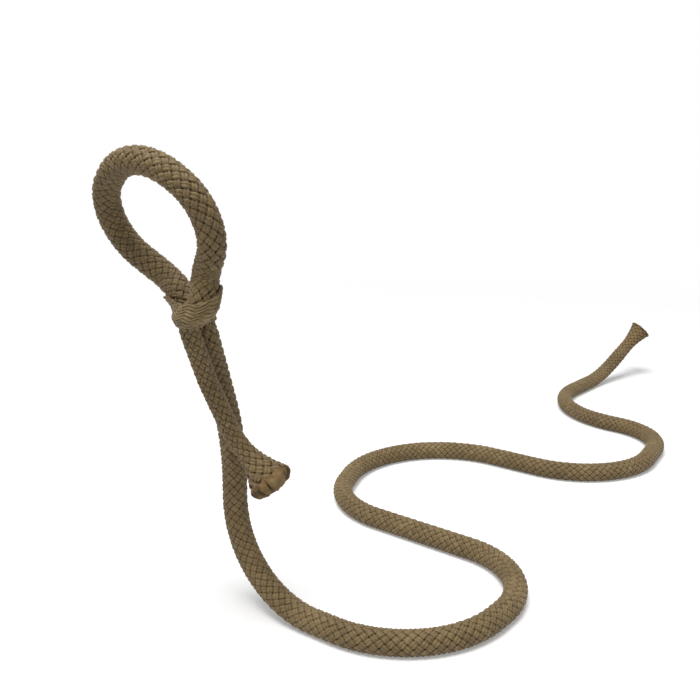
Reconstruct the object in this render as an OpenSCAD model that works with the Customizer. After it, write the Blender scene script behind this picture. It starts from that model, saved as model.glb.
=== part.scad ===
// Bottle stand made like a length of rope that stands by itself: a bent steel rod in a braided
// sleeve. The rope snakes over the table, rises, loops round a bottle's neck and hangs its
// loose end past the collar that binds the crossing. Millimetres, +Z up, +X along the bottle
// from its cap to its base. The origin is on the table, under the middle of the object's box.

/* [Rope] */
// Diameter of the steel rod that stiffens the rope
rod_d = 6; // [5.5:0.1:6.5]
// Thickness of the braided sleeve
sleeve_t = 1.45; // [1.2:0.05:1.6]
// Depth of the flat that the sleeve wears where it lies on the table
flat_t = 0.5; // [0.4:0.05:0.6]
// Bevel on the rod's two cut ends
rod_bevel = 0.6; // [0.3:0.1:0.9]

/* [Foot] */
// Width of the first bay of the foot, between the rope's centre lines
bay_1_w = 75.5; // [70:0.5:80]
// Width of the second bay
bay_2_w = 94; // [88:0.5:100]
// Width of the third bay
bay_3_w = 84; // [80:0.5:90]
// How far the first bay reaches forward of the heel
bay_1_reach = 82.5; // [80:0.5:92]
// How far the second bay's corner lies back of the heel
bay_2_reach = 61.5; // [57:0.5:66]
// How far the third bay reaches forward of the heel
bay_3_reach = 73.5; // [70:0.5:80]
// Length of the last run on the table
end_run = 87.5; // [80:0.5:90]
// How far the last run lies back of the heel
end_run_reach = 14; // [11:0.5:16]

/* [Foot end] */
// Slope of the foot's lifted end
lift_angle = 34.5; // [28:0.5:36]
// Turn of the lifted end toward the front
lift_turn = 17; // [14:1:22]
// Rod in the lifted end, from the last corner to its cut
lift_rod_l = 22; // [20:0.5:28]
// Taper of the empty sleeve past the rod's cut
end_taper_l = 5; // [4:0.5:7]
// Outer diameter of the empty sleeve past the taper
end_neck_d = 8.4; // [7.2:0.1:8.6]
// Length of the empty sleeve between the taper and the flare
end_neck_l = 5.5; // [4:0.5:9]
// Length of the flare at the foot's end
end_flare_l = 16; // [12:0.5:18]
// Outer diameter of the flare's mouth at the foot's end
end_flare_d = 13.8; // [12:0.2:15]

/* [Stem] */
// Height of the knee above the foot, where the stem starts to lean
knee_h = 56; // [53:0.5:60]
// How far the knee lies toward the bottle's base from the heel
knee_x = 3; // [1:0.5:5]
// How far the knee lies back of the heel
knee_y = 1.5; // [0:0.5:3]
// Height of the throat above the foot, where the stem turns into the loop
throat_h = 103; // [99:0.5:107]
// How far the throat leans toward the cap from the heel
throat_x = 18.5; // [16:0.5:21]
// How far the throat lies forward of the heel
throat_y = 8; // [6:0.5:10]
// Bend radius where the stem meets the foot
heel_r = 36; // [32:0.5:39]
// Bend radius of the knee
knee_r = 60; // [50:1:68]

/* [Loop] */
// Width of the loop's corner outline across the bottle
loop_w = 61; // [58.5:0.5:65]
// Height of the loop's corner outline above the throat
loop_h = 52; // [51:0.5:56]
// How far the loop's top leans toward the cap
loop_lean = 16; // [14:0.5:19]

/* [Collar] */
// Height of the collar band along the ropes
collar_h = 11.5; // [10:0.5:13]
// Thickness of the collar band
collar_t = 1.1; // [0.9:0.1:1.5]

/* [Tail] */
// Length of the hanging tail's outline, which its corners are shares of
tail_l = 60; // [57:1:66]
// Outer diameter of the tail, which has no rod in it
tail_d = 6.6; // [6:0.1:7.2]
// Length over which the sleeve narrows past the rod's cut in the collar
tail_taper_l = 3; // [2.5:0.1:3.5]
// Length of the flare at the tail's end
tail_flare_l = 12.5; // [10:0.5:14]
// Outer diameter of the flare's mouth at the tail's end
tail_flare_d = 14.8; // [13:0.2:15.6]

/* [Sealed ends] */
// Radius of the fused bead round the foot's open end
bead_r = 0.8; // [0.75:0.05:1.1]
// Notches melted into the bead
notches = 5; // [3:1:7]
// Height of the fused dome that closes the tail's end
dome_h = 4.2; // [3.4:0.1:5]
// Creases round the dome's edge
creases = 9; // [7:1:11]
// Radius of a notch or a crease
notch_r = 0.6; // [0.4:0.05:0.8]

/* [Hidden] */
$fn = 48;
// Sides of the rope's and the rod's section, with one corner straight below
sides = 16;
// How far a bend's flats may cut inside its true curve
chord = 0.15;
// Gap between the rod and the bore of the sleeve
fit_gap = 0.05;
// Overrun of a cut past the face it starts from
cut = 1;
// Thickness of the discs that the collar's skin is drawn over
disc_l = 0.5;
// Steps in the curve of a flare, and how late the curve opens
flare_steps = 8;
flare_power = 1.6;
// Steps in the curve of the fused dome, and how soon the curve closes
dome_steps = 8;
dome_power = 0.7;

rod_r = rod_d / 2;
bore_r = rod_r + fit_gap;
rope_r = rod_r + sleeve_t;
lie_h = rope_r - flat_t;
tail_r = tail_d / 2;
end_neck_r = end_neck_d / 2;
end_flare_r = end_flare_d / 2;
tail_flare_r = tail_flare_d / 2;

// How far each run steps sideways on its way across, as shares of its bay's width
run_step_shares = [0.023, 0.036, 0.006, 0.056];
// How far the shorter corner of each bay reaches, as shares of the longer one
short_reach_shares = [0.978, 0.367, 0.875, 0.727];
// Bend radii as shares of the bay's width, and of the last run's length
bay_r_shares = [0.512, 0.44, 0.429, 0.486, 0.465, 0.375];
end_r_shares = [0.565, 0.554];

heel = [0, 0, lie_h];
knee = heel + [knee_x, knee_y, knee_h];
throat = heel + [-throat_x, -throat_y, throat_h];

run_1_x = bay_1_w * run_step_shares[0];
run_2_x = run_1_x + bay_1_w;
run_2_end_x = run_2_x + bay_1_w * run_step_shares[1];
run_3_x = run_2_end_x + bay_2_w;
run_3_end_x = run_3_x + bay_2_w * run_step_shares[2];
run_4_x = run_3_end_x + bay_3_w;
run_4_end_x = run_4_x + bay_3_w * run_step_shares[3];

foot_corners = [
    [run_1_x, -bay_1_reach * short_reach_shares[0], lie_h],
    [run_2_x, -bay_1_reach, lie_h],
    [run_2_end_x, bay_2_reach * short_reach_shares[1], lie_h],
    [run_3_x, bay_2_reach, lie_h],
    [run_3_end_x, -bay_3_reach, lie_h],
    [run_4_x, -bay_3_reach * short_reach_shares[2], lie_h],
    [run_4_end_x, end_run_reach, lie_h],
    [run_4_end_x + end_run, end_run_reach * short_reach_shares[3], lie_h]
];
foot_radii = [
    bay_1_w * bay_r_shares[0],
    bay_1_w * bay_r_shares[1],
    bay_2_w * bay_r_shares[2],
    bay_2_w * bay_r_shares[3],
    bay_3_w * bay_r_shares[4],
    bay_3_w * bay_r_shares[5],
    end_run * end_r_shares[0],
    end_run * end_r_shares[1]
];
lift_dir = [
    cos(lift_angle) * cos(lift_turn),
    -cos(lift_angle) * sin(lift_turn),
    sin(lift_angle)
];
last_corner = foot_corners[len(foot_corners) - 1];
rod_foot_end = last_corner + lift_dir * lift_rod_l;

// The loop's corners from the rod's cut in the collar, up the near side, over the neck and
// down the far side to the throat, as shares of the loop's lean, width and height
loop_shares = [
    [-0.385, -0.06, 0.015],
    [-0.275, -0.115, 0.115],
    [-0.14, -0.095, 0.27],
    [-0.46, -0.325, 0.585],
    [-1.00, 0.125, 1.00],
    [-0.445, 0.675, 0.55],
    [0.19, 0.275, 0.185]
];
// Bend radii of the loop's corners and of the throat, as shares of the loop's width
loop_r_shares = [0.155, 0.145, 0.28, 0.36, 0.285, 0.285, 0.2];
loop_corners = [
    for (s = loop_shares)
        throat + [s[0] * loop_lean, s[1] * loop_w, s[2] * loop_h]
];

// The rod's whole route, from its cut in the collar to its cut in the lifted end
route = concat(loop_corners, [throat, knee, heel], foot_corners, [rod_foot_end]);
radii = concat(
    [0],
    [for (s = loop_r_shares) s * loop_w],
    [knee_r, heel_r],
    foot_radii,
    [0]
);
throat_i = len(loop_corners);
heel_i = throat_i + 2;
bay_1_i = heel_i + 1;

// The tail's corners below the rod's cut, as shares of its length from the throat
tail_shares = [[0.015, -0.02, -0.35], [0.165, -0.04, -0.69], [0.25, -0.21, -0.92]];
tail_r_shares = [0.1, 0.23, 0.23];
tail_corners = [for (s = tail_shares) throat + s * tail_l];
cut_dir = unit(loop_corners[0] - loop_corners[1]);
tail_dir = unit(tail_corners[2] - tail_corners[1]);
tail_mouth = tail_corners[2];
tail_neck = tail_mouth - tail_dir * tail_flare_l;
tail_line = [
    loop_corners[0],
    loop_corners[0] + cut_dir * tail_taper_l,
    tail_corners[0],
    tail_corners[1],
    tail_neck
];
tail_radii = concat([0], tail_r_shares * tail_l, [0]);

function unit(v) = v / norm(v);
function sum_of(v, upto) = upto <= 0 ? 0 : v[upto - 1] + sum_of(v, upto - 1);

// A corner of a route: its two directions, its angle, and where its bend starts and ends
function way_in(p, i) = unit(p[i] - p[i - 1]);
function way_out(p, i) = unit(p[i + 1] - p[i]);
function turn(p, i) = acos(max(-1, min(1, way_in(p, i) * way_out(p, i))));
function is_end(p, i) = i <= 0 || i >= len(p) - 1;
function bend_reach(p, r, i) = is_end(p, i) ? 0 : r[i] * tan(turn(p, i) / 2);
function bend_from(p, r, i) = is_end(p, i) ? p[i] : p[i] - way_in(p, i) * bend_reach(p, r, i);
function bend_to(p, r, i) = is_end(p, i) ? p[i] : p[i] + way_out(p, i) * bend_reach(p, r, i);
function toward(p, i) =
    unit(way_out(p, i) - way_in(p, i) * (way_in(p, i) * way_out(p, i)));
function bend_point(p, r, i, a) =
    bend_from(p, r, i)
    + toward(p, i) * r[i] * (1 - cos(a))
    + way_in(p, i) * r[i] * sin(a);
function bend_dir(p, i, a) = way_in(p, i) * cos(a) + toward(p, i) * sin(a);

// Rings along a route: each has its centre and its direction. A bend gets as many as its
// chord allows, and an end of the route gets one
function bend_rings(p, r, i) = max(1, ceil(turn(p, i) / (2 * acos(1 - chord / r[i]))));
function ring_counts(p, r) = [
    for (i = [0 : len(p) - 1])
        is_end(p, i) ? 1 : bend_rings(p, r, i) + 1
];
function ring_line(p, r) = [
    for (i = [0 : len(p) - 1])
        let (n = is_end(p, i) ? 0 : bend_rings(p, r, i))
            for (k = [0 : n])
                is_end(p, i)
                    ? [p[i], i == 0 ? way_out(p, 0) : way_in(p, i)]
                    : [
                        bend_point(p, r, i, turn(p, i) * k / n),
                        bend_dir(p, i, turn(p, i) * k / n)
                    ]
];

// A ring's side, carried along without twist from the ring before
function carried(side, dir) = unit(side - dir * (side * dir));
function with_sides(rings, from, side) =
    let (
        ahead = [
            for (i = from, s = carried(side, rings[from][1]);
                i < len(rings);
                i = i + 1, s = i < len(rings) ? carried(s, rings[i][1]) : s)
                s
        ],
        behind = [
            for (i = from, s = carried(side, rings[from][1]);
                i >= 0;
                i = i - 1, s = i >= 0 ? carried(s, rings[i][1]) : s)
                s
        ]
    )
    [
        for (i = [0 : len(rings) - 1])
            [rings[i][0], rings[i][1], i < from ? behind[from - i] : ahead[i - from]]
    ];

route_counts = ring_counts(route, radii);
function first_ring(i) = sum_of(route_counts, i);
function last_ring(i) = sum_of(route_counts, i + 1) - 1;
level_ring = last_ring(heel_i);
bare_rings = ring_line(route, radii);
route_rings = with_sides(
    bare_rings,
    level_ring,
    unit(cross([0, 0, 1], bare_rings[level_ring][1]))
);
function rings_of(from, to) = [for (i = [from : to]) route_rings[i]];

tail_bare = ring_line(tail_line, tail_radii);
tail_rings = with_sides(tail_bare, 0, route_rings[0][2]);

// A tube over rings, with an outer and an inner radius for each, and flat where it would
// dip under the table. An inner radius of nought makes it solid
function ring_points(ring, r) = [
    for (k = [0 : sides - 1])
        let (
            q = ring[0]
                + ring[2] * r * cos(360 * k / sides)
                + cross(ring[1], ring[2]) * r * sin(360 * k / sides)
        )
            [q[0], q[1], max(q[2], 0)]
];
function skin_faces(n, base, flip) = [
    for (i = [0 : n - 2])
        for (k = [0 : sides - 1])
            let (
                a = base + i * sides + k,
                b = base + i * sides + (k + 1) % sides,
                c = b + sides,
                d = a + sides
            )
                each flip ? [[a, c, b], [a, d, c]] : [[a, b, c], [a, c, d]]
];
function cap_faces(base, inner, flip) = [
    for (k = [0 : sides - 1])
        let (
            a = base + k,
            b = base + (k + 1) % sides,
            c = inner + (k + 1) % sides,
            d = inner + k
        )
            each flip ? [[a, b, c], [a, c, d]] : [[a, c, b], [a, d, c]]
];
module tube(rings, outer, inner) {
    n = len(rings);
    hollow = inner[0] > 0;
    first_in = n * sides;
    last_out = first_in - sides;
    last_in = last_out + first_in;
    out_points = [for (i = [0 : n - 1]) each ring_points(rings[i], outer[i])];
    in_points = hollow ? [for (i = [0 : n - 1]) each ring_points(rings[i], inner[i])] : [];
    solid_caps = [
        [for (k = [0 : sides - 1]) k],
        [for (k = [1 : sides]) first_in - k]
    ];
    faces = concat(
        skin_faces(n, 0, true),
        hollow
            ? concat(
                skin_faces(n, first_in, false),
                cap_faces(0, first_in, true),
                cap_faces(last_out, last_in, false)
            )
            : solid_caps
    );
    polyhedron(points = concat(out_points, in_points), faces = faces, convexity = 10);
}

module rope(from, to) {
    tube(
        rings_of(from, to),
        [for (i = [from : to]) rope_r],
        [for (i = [from : to]) bore_r]
    );
}

// Stands a shape's Z axis along a direction, at a point
module along(at, dir) {
    side = abs(dir[2]) > 0.9 ? unit(cross([0, 1, 0], dir)) : unit(cross([0, 0, 1], dir));
    other = cross(dir, side);
    multmatrix([
        [side[0], other[0], dir[0], at[0]],
        [side[1], other[1], dir[1], at[1]],
        [side[2], other[2], dir[2], at[2]],
        [0, 0, 0, 1]
    ])
        children();
}

// An open end: it narrows past the rod's cut if it has a taper, runs straight if it has a
// neck, and widens along a curve to its mouth, with the sleeve's own thickness
function flare_line(start, taper_l, neck, neck_l, mouth, len) = concat(
    taper_l > 0 ? [[start, 0]] : [],
    neck_l > 0 ? [[neck, taper_l]] : [],
    [
        for (k = [0 : flare_steps])
            [
                neck + (mouth - neck) * pow(k / flare_steps, flare_power),
                taper_l + neck_l + len * k / flare_steps
            ]
    ]
);
module open_end(start, taper_l, neck, neck_l, mouth, len) {
    outer = flare_line(start, taper_l, neck, neck_l, mouth, len);
    count = len(outer);
    inner = [for (k = [1 : count]) outer[count - k] - [sleeve_t, 0]];
    rotate_extrude()
        polygon(concat(outer, inner));
}

// The fused bead on a mouth: half a ring of round section, notched
module rim(mouth) {
    mid = mouth - sleeve_t / 2;
    difference() {
        rotate_extrude()
            translate([mid, 0])
                intersection() {
                    circle(r = bead_r);
                    translate([-bead_r - cut, 0])
                        square([2 * (bead_r + cut), bead_r + cut]);
                }
        for (k = [0 : notches - 1])
            rotate([0, 0, 360 * (k + 0.5) / notches])
                translate([mid - bead_r - cut, 0, bead_r])
                    rotate([0, 90, 0])
                        cylinder(r = notch_r, h = 2 * (bead_r + cut));
    }
}

// The fused dome on a mouth: it closes the end, and creases part its edge into lumps
module dome(mouth) {
    difference() {
        rotate_extrude()
            polygon(concat(
                [[0, 0]],
                [
                    for (k = [0 : dome_steps])
                        let (a = 90 * k / dome_steps)
                            [mouth * pow(cos(a), dome_power), dome_h * sin(a)]
                ]
            ));
        for (k = [0 : creases - 1])
            rotate([0, 0, 360 * (k + 0.5) / creases])
                translate([mouth, 0, -cut])
                    cylinder(r = notch_r, h = dome_h + 2 * cut);
    }
}

// The collar's skin is drawn over discs on both strands: down the one with the rod's cut,
// and down the stem behind it, to a level rim below the throat. Each row is a disc's centre,
// its direction, its radius, and whether a hollow runs on above it and below it
near_top_share = 0.27;
low_rim_share = 0.2;
far_disc_shares = [0, 0.4];
far_low_share = 0.6;
low_rim_z = throat[2] - collar_h * low_rim_share;
near_bend = turn(route, 1);
far_bend = turn(route, throat_i);
near_low = bend_point(tail_line, tail_radii, 1, turn(tail_line, 1) / 2);
far_low = bend_point(route, radii, throat_i, far_bend * far_low_share);
collar_discs = concat(
    [
        [
            loop_corners[1] + way_out(route, 1) * collar_h * near_top_share,
            -way_out(route, 1),
            rope_r,
            1,
            0
        ],
        [
            bend_point(route, radii, 1, near_bend / 2),
            -bend_dir(route, 1, near_bend / 2),
            rope_r,
            0,
            0
        ],
        [bend_from(route, radii, 1), -way_in(route, 1), rope_r, 0, 0],
        [[near_low[0], near_low[1], low_rim_z], [0, 0, -1], tail_r, 0, 1],
        [[far_low[0], far_low[1], low_rim_z], [0, 0, -1], rope_r, 0, 1]
    ],
    [
        for (s = far_disc_shares)
            [
                bend_point(route, radii, throat_i, far_bend * s),
                bend_dir(route, throat_i, far_bend * s),
                rope_r,
                s == 0 ? 1 : 0,
                0
            ]
    ]
);

module collar_skin(extra, over) {
    hull()
        for (d = collar_discs)
            along(d[0] - d[1] * over * d[3], d[1])
                cylinder(r = d[2] + extra, h = disc_l + over * (d[3] + d[4]), $fn = 32);
}

end_mouth = rod_foot_end + lift_dir * (end_taper_l + end_neck_l + end_flare_l);

// The object's box, so that the origin lies under its middle
rim_reach = end_flare_r - sleeve_t / 2;
low_x = min([for (q = bare_rings) q[0][0]]) - rope_r;
high_x = end_mouth[0] + rim_reach * sqrt(1 - lift_dir[0] * lift_dir[0]) + bead_r;
low_y = min([for (q = bare_rings) q[0][1]]) - rope_r;
high_y = max([for (q = bare_rings) q[0][1]]) + rope_r;
middle = [(low_x + high_x) / 2, (low_y + high_y) / 2, 0];

module place() {
    translate(-middle)
        children();
}

module core_rod() {
    last = len(route_rings) - 1;
    a = route_rings[0];
    b = route_rings[last];
    bevel_in = rod_bevel;
    rings = concat(
        [a, [a[0] + a[1] * bevel_in, a[1], a[2]]],
        rings_of(1, last - 1),
        [[b[0] - b[1] * bevel_in, b[1], b[2]], b]
    );
    outer = [
        for (i = [0 : len(rings) - 1])
            (i == 0 || i == len(rings) - 1) ? rod_r - rod_bevel : rod_r
    ];
    color([0.62, 0.63, 0.65])
        place()
            tube(rings, outer, [0]);
}

module loop_sleeve() {
    color([0.6, 0.52, 0.36])
        place()
            rope(0, first_ring(throat_i));
}

module stem_sleeve() {
    color([0.58, 0.5, 0.34])
        place()
            rope(first_ring(throat_i), last_ring(heel_i));
}

module foot_front_sleeve() {
    color([0.6, 0.52, 0.36])
        place()
            rope(last_ring(heel_i), first_ring(bay_1_i + 2));
}

module foot_middle_sleeve() {
    color([0.56, 0.48, 0.33])
        place()
            rope(first_ring(bay_1_i + 2), first_ring(bay_1_i + 4));
}

module foot_back_sleeve() {
    color([0.6, 0.52, 0.36])
        place()
            rope(first_ring(bay_1_i + 4), first_ring(bay_1_i + 6));
}

module foot_lifted_sleeve() {
    color([0.57, 0.49, 0.34])
        place()
            rope(first_ring(bay_1_i + 6), len(route_rings) - 1);
}

module foot_end_flare() {
    color([0.52, 0.44, 0.3])
        place()
            along(rod_foot_end, lift_dir)
                open_end(rope_r, end_taper_l, end_neck_r, end_neck_l, end_flare_r, end_flare_l);
}

module foot_end_rim() {
    color([0.66, 0.46, 0.26])
        place()
            along(end_mouth, lift_dir)
                rim(end_flare_r);
}

module tail_sleeve() {
    gone = [
        for (i = 0, d = 0;
            i < len(tail_rings);
            i = i + 1, d = i < len(tail_rings)
                ? d + norm(tail_rings[i][0] - tail_rings[i - 1][0]) : d)
            d
    ];
    outer = [
        for (d = gone)
            tail_r + (rope_r - tail_r) * max(0, 1 - d / tail_taper_l)
    ];
    color([0.6, 0.52, 0.36])
        place()
            tube(tail_rings, outer, [for (r = outer) r - sleeve_t]);
}

module tail_end_flare() {
    color([0.55, 0.46, 0.31])
        place()
            along(tail_neck, tail_dir)
                open_end(tail_r, 0, tail_r, 0, tail_flare_r, tail_flare_l);
}

module tail_end_cap() {
    color([0.68, 0.48, 0.28])
        place()
            along(tail_mouth, tail_dir)
                dome(tail_flare_r);
}

module collar_band() {
    color([0.5, 0.42, 0.29])
        place()
            difference() {
                collar_skin(fit_gap + collar_t, 0);
                collar_skin(fit_gap, collar_h / 2);
            }
}

core_rod();
loop_sleeve();
stem_sleeve();
foot_front_sleeve();
foot_middle_sleeve();
foot_back_sleeve();
foot_lifted_sleeve();
foot_end_flare();
foot_end_rim();
tail_sleeve();
tail_end_flare();
tail_end_cap();
collar_band();
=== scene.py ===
"""Looks of the rope-like bottle stand: the braid of its sleeve, the collar and the two fused ends.

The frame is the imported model: metres, +Z up, +X along the bottle from its cap to its base.
Sizes are in millimetres, measured from the heel of the stem, where no comment says otherwise.
"""

import math

import bpy
import numpy as np
from mathutils import Matrix, Vector

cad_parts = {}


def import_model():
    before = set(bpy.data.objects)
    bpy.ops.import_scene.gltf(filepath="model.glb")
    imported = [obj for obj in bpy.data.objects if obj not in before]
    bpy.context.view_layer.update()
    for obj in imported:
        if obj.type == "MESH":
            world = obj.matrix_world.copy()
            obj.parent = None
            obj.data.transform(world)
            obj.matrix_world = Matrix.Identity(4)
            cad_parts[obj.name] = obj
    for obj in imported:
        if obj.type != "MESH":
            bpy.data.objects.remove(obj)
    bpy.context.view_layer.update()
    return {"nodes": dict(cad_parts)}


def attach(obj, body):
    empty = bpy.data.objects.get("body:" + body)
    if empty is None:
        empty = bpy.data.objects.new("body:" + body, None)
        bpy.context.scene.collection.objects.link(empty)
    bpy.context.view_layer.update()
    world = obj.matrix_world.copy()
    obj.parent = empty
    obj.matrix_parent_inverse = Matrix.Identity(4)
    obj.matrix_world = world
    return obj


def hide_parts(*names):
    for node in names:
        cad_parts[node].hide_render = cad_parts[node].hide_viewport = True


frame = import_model()

MM = 0.001
TURN = 2 * math.pi

# Seeds for the yarn, for the foot's fused bead and for the tail's fused dome
SEED, BEAD_SEED, DOME_SEED = 11, 8, 5

# Where the origin lies, from the heel
MIDDLE = np.array([178.406, -21.4243, 0.0])

# The rope: its outer radius, the wall of its sleeve, and how high its middle lies over the table
ROPE_R, SLEEVE_T, LIE_H = 4.45, 1.4, 3.95

# The foot's bays, its last run and its lifted end, whose last part has no rod in it
BAY_1_W, BAY_2_W, BAY_3_W = 75.5, 94.0, 84.0
BAY_1_REACH, BAY_2_REACH, BAY_3_REACH = 82.5, 61.5, 73.5
END_RUN, END_RUN_REACH = 87.5, 14.0
RUN_STEP_SHARES = (0.023, 0.036, 0.006, 0.056)
SHORT_REACH_SHARES = (0.978, 0.367, 0.875, 0.727)
BAY_R_SHARES = (0.512, 0.44, 0.429, 0.486, 0.465, 0.375)
END_R_SHARES = (0.565, 0.554)
LIFT_ANGLE, LIFT_TURN, LIFT_ROD_L = 34.5, 17.0, 22.0
END_TAPER_L, END_NECK_R, END_NECK_L = 5.0, 4.2, 5.5
END_FLARE_L, END_FLARE_R = 16.0, 6.9
END_EMPTY_L = END_TAPER_L + END_NECK_L + END_FLARE_L

# The foot's soft mouth leans: its low far side runs on and its near side stops short, by this
# share of the distance from its middle, and the lean grows along the flare by this power
MOUTH_LEAN, MOUTH_LEAN_POWER = 0.38, 1.5

# The stem and the loop
KNEE_H, KNEE_X, KNEE_Y, KNEE_R = 56.0, 3.0, 1.5, 60.0
THROAT_H, THROAT_X, THROAT_Y = 103.0, 18.5, 8.0
HEEL_R = 36.0
LOOP_W, LOOP_H, LOOP_LEAN = 61.0, 52.0, 16.0
LOOP_SHARES = (
    (-0.385, -0.06, 0.015),
    (-0.275, -0.115, 0.115),
    (-0.14, -0.095, 0.27),
    (-0.46, -0.325, 0.585),
    (-1.00, 0.125, 1.00),
    (-0.445, 0.675, 0.55),
    (0.19, 0.275, 0.185),
)
LOOP_R_SHARES = (0.155, 0.145, 0.28, 0.36, 0.285, 0.285, 0.2)

# The tail, and which of the rope's bends is the throat, counted from the tail's mouth
TAIL_L, TAIL_R, TAIL_TAPER_L = 60.0, 3.3, 3.0
TAIL_FLARE_L, TAIL_FLARE_R = 12.5, 7.4
THROAT_BEND = 9
TAIL_SHARES = ((0.015, -0.02, -0.35), (0.165, -0.04, -0.69), (0.25, -0.21, -0.92))
TAIL_R_SHARES = (0.1, 0.23, 0.23)
FLARE_POWER = 1.6

# The steps of the rope's line, and what counts as nought for a step or a slope
LINE_STEP, TINY = 0.1, 1e-6

# The braid: strands each way, the length of one full turn, a strand's thickness and how much it
# swells where it lies on top, how far its middle lies below the outside, and how far it swings
STRANDS = 8
LEAD = 26.2
STRAND_T = 0.70
SWELL = 0.34
SINK = 0.78
WAVE = 0.32

# A strand's width against an even share of the way round, its share where it dives between two
# others, and how far its edges follow the round of the sleeve
COVER = 1.05
DIVE_W = 0.80
EDGE_FOLLOW = 0.55

# Rings of a strand, and the least share of a step between the first or last ring and the next
RINGS_PER_WAVE = 7
RING_STEP = LEAD / STRANDS / RINGS_PER_WAVE
RING_SLACK = 0.2

# Chance along a strand: a new value each beat, with some to spare, and how far the shade, width
# and height stray
BEAT, SPARE_BEATS = 3.6, 8
STRAND_SHADE, BEAT_SHADE = 0.35, 0.5
WIDTH_STRAY = 0.035
HEIGHT_MEAN, HEIGHT_STRAY = -0.02, 0.07
HEIGHT_LEAST, HEIGHT_MOST = -0.2, 0.08

# The lining, a dark sheet of painted shade under the strands: its steps, its sides, how far it lies
# inside the wall, and its gap over the table
LINING_STEP, LINING_SIDES = 1.6, 20
LINING_INSET, LINING_LIFT = 0.05, 0.02

# How far the heat that sealed the ends browns the yarn: at the tail's mouth, along the foot's
# empty end, and at the foot's mouth
TAIL_SCORCH_L, TAIL_SCORCH_POWER = 5.0, 1.5
END_SCORCH_L, END_SCORCH = 8.0, 0.45
MOUTH_SCORCH_L, MOUTH_SCORCH = 4.0, 0.3

# A fused end's lumps: how far one strays from its even place, its half width as a share of the
# even spacing, and its fullness, and the span of a ripple's chance start in radians
LUMP_STRAY = 0.24
LUMP_HALF_W = (0.48, 0.62)
LUMP_SIZE = (0.72, 1.15)
PHASE = 6.3

# The foot's fused bead: its radius and how much wider than high it is, its lumps, steps and
# sides, the ripples in its size and place, and how far it is set back from the mouth
BEAD_R, BEAD_WIDER = 0.64, 1.15
BEAD_LUMPS, BEAD_STEPS, BEAD_SIDES = 16, 180, 14
BEAD_LUMP, BEAD_FINE = 0.14, 0.05
BEAD_FINE_WAVES, BEAD_SLOW_WAVES = (7, 11, 17), (2, 3, 5)
BEAD_SLOW, BEAD_AHEAD, BEAD_OUT = 0.12, 0.10, 0.1
BEAD_SET_BACK = 0.15
# The bead's painted shade, lighter on its lumps and darker between them, and its scorch mark
BEAD_LUMP_SHADE, BEAD_LUMP_SHADE_MEAN, BEAD_SCORCH = 0.5, 0.4, 0.7

# The tail's fused dome: its height, its lumps and steps, how far its edge stands out past the
# mouth and ahead of it, how much less than its height it rises from there, and the powers by
# which its side closes and its lumps die away
DOME_H = 4.2
DOME_LUMPS, DOME_STEPS, DOME_RISE_STEPS = 13, 216, 30
DOME_OVER, DOME_BASE_H, DOME_LESS_H = 0.1, 0.2, 0.4
DOME_POWER, LUMP_FADE_POWER = 0.72, 0.6

# The dome's skirt, tucked into the mouth: its heights, its insets, how full its lumps are
SKIRT_HEIGHTS = (-1.5, -0.9, -0.3)
SKIRT_INSETS = (1.1, 0.45, 0.05)
SKIRT_LUMPS = (0.0, 0.3, 0.8)

# How far the dome's lumps push out and up from their mean fullness, the height from which they
# rise in full, its smaller waves, its dimples, and the painted shade that each gives: lighter where
# the skin stands out, darker in its creases and dimples
LUMP_OUT, LUMP_OUT_MEAN = 0.14, 0.86
LUMP_UP, LUMP_UP_MEAN, LUMP_UP_FROM = 1.5, 0.78, 1.2
DOME_FINE, DOME_FINE_WAVES = 0.03, (23, 31, 44)
DIMPLES, DIMPLE_WAVES, DIMPLE_H = 7, (0.6, 2.6), 0.10
DOME_LUMP_SHADE, DOME_LUMP_SHADE_MEAN, DOME_FINE_SHADE, DIMPLE_SHADE = 1.4, 0.85, 0.25, 0.2
DOME_SCORCH, DOME_SCORCH_H = 0.8, 1.5

# The collar binds two runs of the rope: its outer radius round the near and the far one, half its
# thickness, and how far and over what height its low rim is drawn in
COLLAR_NEAR_R, COLLAR_FAR_R = 5.2, 5.45
COLLAR_HALF_T = 0.45
COLLAR_DRAWN_IN, COLLAR_DRAWN_H = 0.45, 3.0

# How far along each run its shape is taken from, each way, the height over which a run's lean is
# measured, and the most that a leaning run's level section is lengthened
COLLAR_REACH = 14.0
COLLAR_LEAN_STEP, COLLAR_LEAN_MOST = 1.0, 1.8

# The heading that shares of the way round are counted from, the low rim's height from the throat,
# the high rim's by the share of the way round, and the shares over which that rim is smoothed
COLLAR_FRONT = math.radians(-128.0)
COLLAR_LOW = -2.2
COLLAR_RIM = (
    (0.0, 6.1), (0.04, 7.3), (0.07, 9.4), (0.1, 10.3), (0.16, 10.0), (0.3, 8.0), (0.45, 5.6),
    (0.6, 4.2), (0.64, 5.1), (0.68, 5.7), (0.72, 5.0), (0.78, 4.7), (0.88, 5.2), (0.96, 5.7),
)
RIM_SPREAD = (-0.016, -0.008, 0.0, 0.008, 0.016)

# The collar's strands: waves on the way round and rings to a wave, how far a strand swings, its
# thickness and swell, its share of width where it dives, its seam and how far its ends overlap
COLLAR_WAVES, COLLAR_RINGS_PER_WAVE = 12, 11
COLLAR_WAVE = 0.13
COLLAR_STRAND_T, COLLAR_SWELL = 0.46, 0.3
COLLAR_DIVE_W = 0.86
COLLAR_SEAM, COLLAR_OVERLAP = 0.3, 0.004

# Rings between two chance values in the collar, how far the width, thickness and shade stray, and
# how many values there are to spare
COLLAR_WIDTH_BEAT, COLLAR_WIDTH_STRAY = 7, 0.04
COLLAR_HEIGHT_BEAT, COLLAR_HEIGHT_STRAY = 6, 0.06
COLLAR_SHADE_BEAT, COLLAR_STRAND_SHADE, COLLAR_SHADE = 9, 0.35, 0.4
SPARE_VALUES = 4

# A collar strand's depth mark, which sets its painted shade: at its middle, nought deep down and
# one on top, and how far it swings
COLLAR_DEPTH, COLLAR_DEPTH_SWING = 0.42, 0.18
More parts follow.
